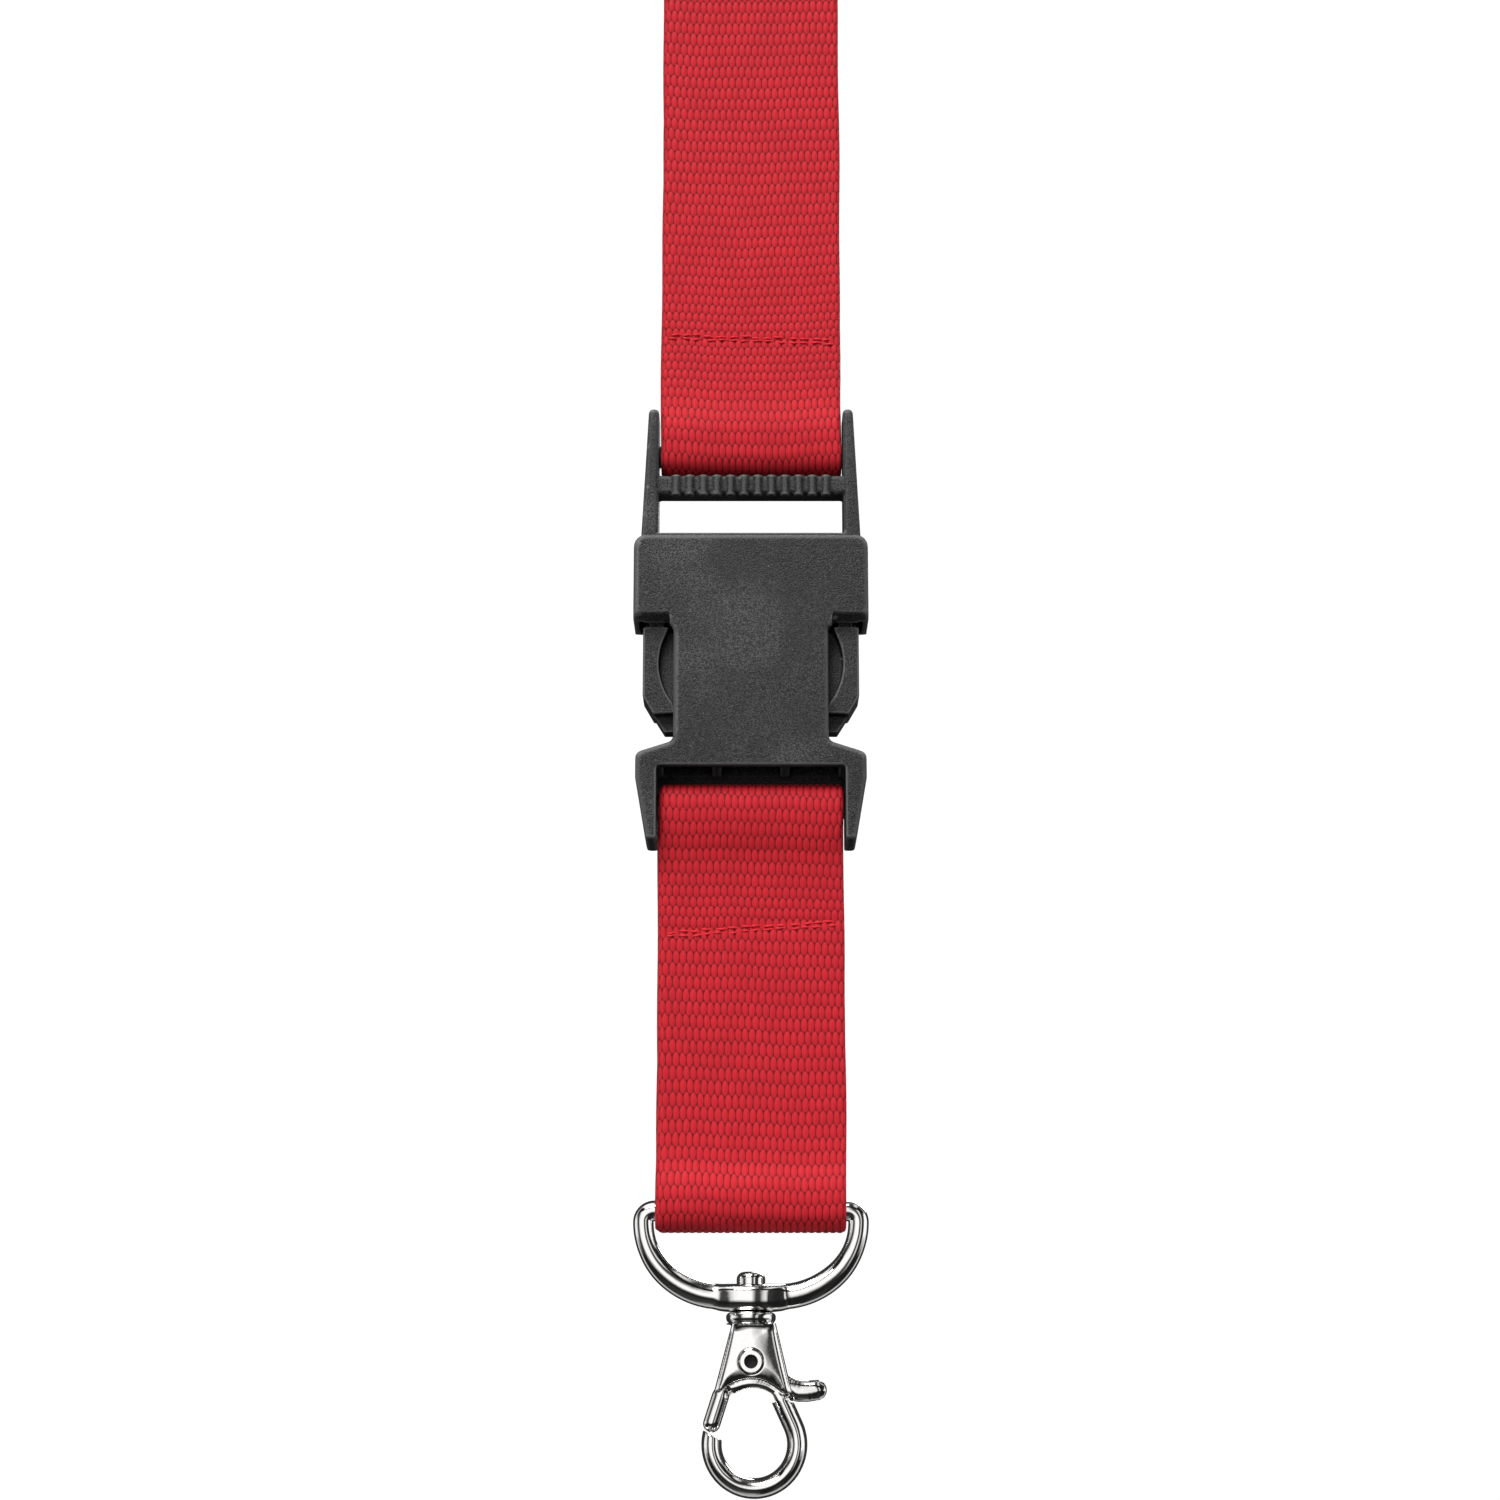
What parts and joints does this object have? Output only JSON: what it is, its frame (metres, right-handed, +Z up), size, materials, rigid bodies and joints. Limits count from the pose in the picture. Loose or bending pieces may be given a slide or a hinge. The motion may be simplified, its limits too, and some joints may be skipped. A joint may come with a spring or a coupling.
{
  "type": "lanyard",
  "caption": "Flat webbing neck lanyard with a side release buckle, a short lower strap, a D-ring and a swivel trigger hook.",
  "frame": {"origin": "inside top of the neck loop, where the lanyard hangs on whatever holds it", "axes": "+Z up along the hanging lanyard, -Y the front face of the buckle, +X across the webbing"},
  "size_m": [0.0256, 0.1218, 0.552],
  "materials": {
    "webbing": "red polyester webbing, plain ribbed weave",
    "thread": "red sewing thread",
    "buckle_plastic": "fine grained charcoal moulding",
    "nickel": "polished nickel plate on a casting",
    "spring_steel": "bright spring wire"
  },
  "bodies": {
    "root": {"neck_strap": "webbing", "neck_stitching": "thread"},
    "buckle_male": {"male_body": "buckle_plastic"},
    "left_latch": {"left_prong": "buckle_plastic"},
    "right_latch": {"right_prong": "buckle_plastic"},
    "buckle_female": {"female_body": "buckle_plastic"},
    "strap_loop": {"lower_strap": "webbing", "lower_stitching": "thread"},
    "ring": {"d_ring": "nickel"},
    "hook": {"hook_body": "nickel", "swivel_rivet": "nickel", "gate_pin": "nickel", "gate_spring": "spring_steel"},
    "gate": {"gate_lever": "nickel"}
  },
  "joints": [
    {"name": "buckle_swing", "type": "hinge", "parent": "root", "child": "buckle_male", "pos_m": [0, 0, -0.4386], "axis": [1, 0, 0], "range_deg": [-40, 40]},
    {"name": "left_latch_press", "type": "hinge", "parent": "buckle_male", "child": "left_latch", "pos_m": [-0.0103, 0, -0.4506], "axis": [0, -1, 0], "range_deg": [0, 8], "stiffness_Nm_per_rad": 0.02},
    {"name": "right_latch_press", "type": "hinge", "parent": "buckle_male", "child": "right_latch", "pos_m": [0.0103, 0, -0.4506], "axis": [0, 1, 0], "range_deg": [0, 8], "stiffness_Nm_per_rad": 0.02},
    {"name": "buckle_release", "type": "slide", "parent": "buckle_male", "child": "buckle_female", "axis": [0, 0, -1], "range_m": [0, 0.028]},
    {"name": "strap_swing", "type": "hinge", "parent": "buckle_female", "child": "strap_loop", "pos_m": [0, 0, -0.4783], "axis": [1, 0, 0], "range_deg": [-45, 45]},
    {"name": "ring_swing", "type": "hinge", "parent": "strap_loop", "child": "ring", "pos_m": [0, 0, -0.5216], "axis": [1, 0, 0], "range_deg": [-80, 80]},
    {"name": "hook_swivel", "type": "hinge", "parent": "ring", "child": "hook", "pos_m": [0, 0, -0.532], "axis": [0, 0, 1], "continuous": true},
    {"name": "gate_open", "type": "hinge", "parent": "hook", "child": "gate", "pos_m": [0, 0, -0.5371], "axis": [0, -1, 0], "range_deg": [0, 25], "stiffness_Nm_per_rad": 0.002, "springref_deg": -22.92, "deforming": ["gate_spring"]}
  ]
}
